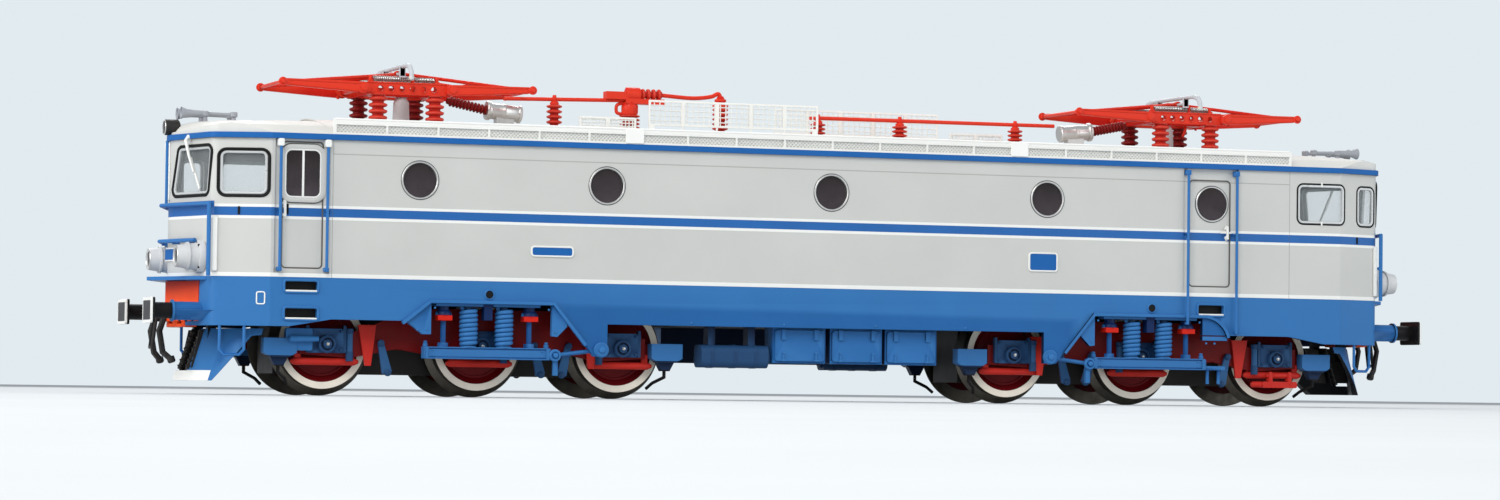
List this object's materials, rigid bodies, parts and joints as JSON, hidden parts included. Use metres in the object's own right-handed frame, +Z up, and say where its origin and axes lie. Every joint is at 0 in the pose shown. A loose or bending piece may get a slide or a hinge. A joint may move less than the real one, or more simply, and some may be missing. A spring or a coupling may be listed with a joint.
{
  "type": "H0 scale model electric locomotive",
  "caption": "Scale model electric locomotive with two cabs, swivelling three-axle bogies, turning wheelsets and roof pantographs that fold and raise.",
  "frame": {"origin": "on the ground under the middle of the locomotive, at the bottom of the wheel flanges", "axes": "+X along the locomotive towards the end at the right of the picture, -Y is the side in the picture, +Z up"},
  "size_m": [0.2276, 0.0364, 0.0545],
  "materials": {
    "shell_grey": "satin moulded plastic, light warm grey",
    "roof_white": "satin moulded plastic, off white",
    "blue": "satin mid blue paint",
    "red": "satin bright red plastic",
    "dark_red": "satin dark red plastic",
    "black": "matt black plastic",
    "diecast": "matt black painted diecast metal",
    "tyre_metal": "turned metal, rim face ivory",
    "bright_metal": "bright turned metal",
    "light_grey": "satin grey plastic",
    "pane": "clear polystyrene"
  },
  "bodies": {
    "root": {"body_shell": "shell_grey", "skirt": "blue", "roof": "roof_white", "cab_doors": "shell_grey", "chassis_block": "diecast", "window_panes": "pane", "nose_ledges": "blue", "headlamps": "roof_white", "top_lamps": "black", "horns": "light_grey", "door_handrails": "blue", "draw_hooks": "black", "snow_ploughs": "blue", "buffer_sockets": "blue", "buffers": "black", "side_bolsters": "blue", "bolster_springs": "blue", "equipment_boxes": "blue", "air_tanks": "black", "roof_grilles": "roof_white", "roof_bus_bar": "red", "end_panels": "red", "end_rails": "blue", "main_breaker": "red", "panto_base_left": "red", "panto_insulators_left": "red", "panto_drive_left": "bright_metal", "panto_base_right": "red", "panto_insulators_right": "red", "panto_drive_right": "bright_metal"},
    "bogie_left": {"bogie_gearbox_left": "black", "bogie_frame_left": "dark_red", "brake_rigging_left": "red", "sandboxes_left": "blue"},
    "wheelset_1": {"wheel_centres_1": "dark_red", "tyres_1": "tyre_metal"},
    "wheelset_2": {"wheel_centres_2": "dark_red", "tyres_2": "tyre_metal"},
    "wheelset_3": {"wheel_centres_3": "dark_red", "tyres_3": "tyre_metal"},
    "bogie_right": {"bogie_gearbox_right": "black", "bogie_frame_right": "dark_red", "brake_rigging_right": "red", "sandboxes_right": "blue"},
    "wheelset_4": {"wheel_centres_4": "dark_red", "tyres_4": "tyre_metal"},
    "wheelset_5": {"wheel_centres_5": "dark_red", "tyres_5": "tyre_metal"},
    "wheelset_6": {"wheel_centres_6": "dark_red", "tyres_6": "tyre_metal"},
    "panto_lower_outer_left": {"panto_lower_outer_left": "red"},
    "panto_upper_outer_left": {"panto_upper_outer_left": "red"},
    "panto_lower_inner_left": {"panto_lower_inner_left": "red"},
    "panto_upper_inner_left": {"panto_upper_inner_left": "red"},
    "panto_head_left": {"panto_head_left": "light_grey"},
    "panto_lower_outer_right": {"panto_lower_outer_right": "red"},
    "panto_upper_outer_right": {"panto_upper_outer_right": "red"},
    "panto_lower_inner_right": {"panto_lower_inner_right": "red"},
    "panto_upper_inner_right": {"panto_upper_inner_right": "red"},
    "panto_head_right": {"panto_head_right": "light_grey"}
  },
  "joints": [
    {"name": "bogie_left_swing", "type": "hinge", "parent": "root", "child": "bogie_left", "pos_m": [-0.0592, 0, 0.0131], "axis": [0, 0, 1], "range_deg": [-8, 8]},
    {"name": "wheelset_1_turn", "type": "hinge", "parent": "bogie_left", "child": "wheelset_1", "pos_m": [-0.0851, 0, 0.0083], "axis": [0, 1, 0], "continuous": true},
    {"name": "wheelset_2_turn", "type": "hinge", "parent": "bogie_left", "child": "wheelset_2", "pos_m": [-0.0592, 0, 0.0083], "axis": [0, 1, 0], "continuous": true},
    {"name": "wheelset_3_turn", "type": "hinge", "parent": "bogie_left", "child": "wheelset_3", "pos_m": [-0.0351, 0, 0.0083], "axis": [0, 1, 0], "continuous": true},
    {"name": "bogie_right_swing", "type": "hinge", "parent": "root", "child": "bogie_right", "pos_m": [0.0592, 0, 0.0131], "axis": [0, 0, 1], "range_deg": [-8, 8]},
    {"name": "wheelset_4_turn", "type": "hinge", "parent": "bogie_right", "child": "wheelset_4", "pos_m": [0.0351, 0, 0.0083], "axis": [0, 1, 0], "continuous": true},
    {"name": "wheelset_5_turn", "type": "hinge", "parent": "bogie_right", "child": "wheelset_5", "pos_m": [0.0592, 0, 0.0083], "axis": [0, 1, 0], "continuous": true},
    {"name": "wheelset_6_turn", "type": "hinge", "parent": "bogie_right", "child": "wheelset_6", "pos_m": [0.0851, 0, 0.0083], "axis": [0, 1, 0], "continuous": true},
    {"name": "panto_lower_outer_left_raise", "type": "hinge", "parent": "root", "child": "panto_lower_outer_left", "pos_m": [-0.07805, 0, 0.0503], "axis": [0, 1, 0], "range_deg": [0, 45]},
    {"name": "panto_upper_outer_left_knee", "type": "hinge", "parent": "panto_lower_outer_left", "child": "panto_upper_outer_left", "pos_m": [-0.0917, 0, 0.05078], "axis": [0, -1, 0], "range_deg": [0, 77.6]},
    {"name": "panto_lower_inner_left_raise", "type": "hinge", "parent": "root", "child": "panto_lower_inner_left", "pos_m": [-0.06315, 0, 0.0503], "axis": [0, -1, 0], "range_deg": [0, 45]},
    {"name": "panto_upper_inner_left_knee", "type": "hinge", "parent": "panto_lower_inner_left", "child": "panto_upper_inner_left", "pos_m": [-0.0495, 0, 0.05078], "axis": [0, 1, 0], "range_deg": [0, 77.6]},
    {"name": "panto_head_left_level", "type": "hinge", "parent": "panto_upper_outer_left", "child": "panto_head_left", "pos_m": [-0.0711, 0, 0.053], "axis": [0, 1, 0], "range_deg": [0, 32.6]},
    {"name": "panto_lower_outer_right_raise", "type": "hinge", "parent": "root", "child": "panto_lower_outer_right", "pos_m": [0.07805, 0, 0.0503], "axis": [0, -1, 0], "range_deg": [0, 45]},
    {"name": "panto_upper_outer_right_knee", "type": "hinge", "parent": "panto_lower_outer_right", "child": "panto_upper_outer_right", "pos_m": [0.0917, 0, 0.05078], "axis": [0, 1, 0], "range_deg": [0, 77.6]},
    {"name": "panto_lower_inner_right_raise", "type": "hinge", "parent": "root", "child": "panto_lower_inner_right", "pos_m": [0.06315, 0, 0.0503], "axis": [0, 1, 0], "range_deg": [0, 45]},
    {"name": "panto_upper_inner_right_knee", "type": "hinge", "parent": "panto_lower_inner_right", "child": "panto_upper_inner_right", "pos_m": [0.0495, 0, 0.05078], "axis": [0, -1, 0], "range_deg": [0, 77.6]},
    {"name": "panto_head_right_level", "type": "hinge", "parent": "panto_upper_outer_right", "child": "panto_head_right", "pos_m": [0.0711, 0, 0.053], "axis": [0, -1, 0], "range_deg": [0, 32.6]}
  ],
  "couplings": [
    {"joint": "panto_upper_outer_left_knee", "follows": "panto_lower_outer_left_raise", "ratio": 1.7138},
    {"joint": "panto_lower_inner_left_raise", "follows": "panto_lower_outer_left_raise", "ratio": 1},
    {"joint": "panto_upper_inner_left_knee", "follows": "panto_lower_outer_left_raise", "ratio": 1.7138},
    {"joint": "panto_head_left_level", "follows": "panto_lower_outer_left_raise", "ratio": 0.7138},
    {"joint": "panto_upper_outer_right_knee", "follows": "panto_lower_outer_right_raise", "ratio": 1.7138},
    {"joint": "panto_lower_inner_right_raise", "follows": "panto_lower_outer_right_raise", "ratio": 1},
    {"joint": "panto_upper_inner_right_knee", "follows": "panto_lower_outer_right_raise", "ratio": 1.7138},
    {"joint": "panto_head_right_level", "follows": "panto_lower_outer_right_raise", "ratio": 0.7138}
  ]
}
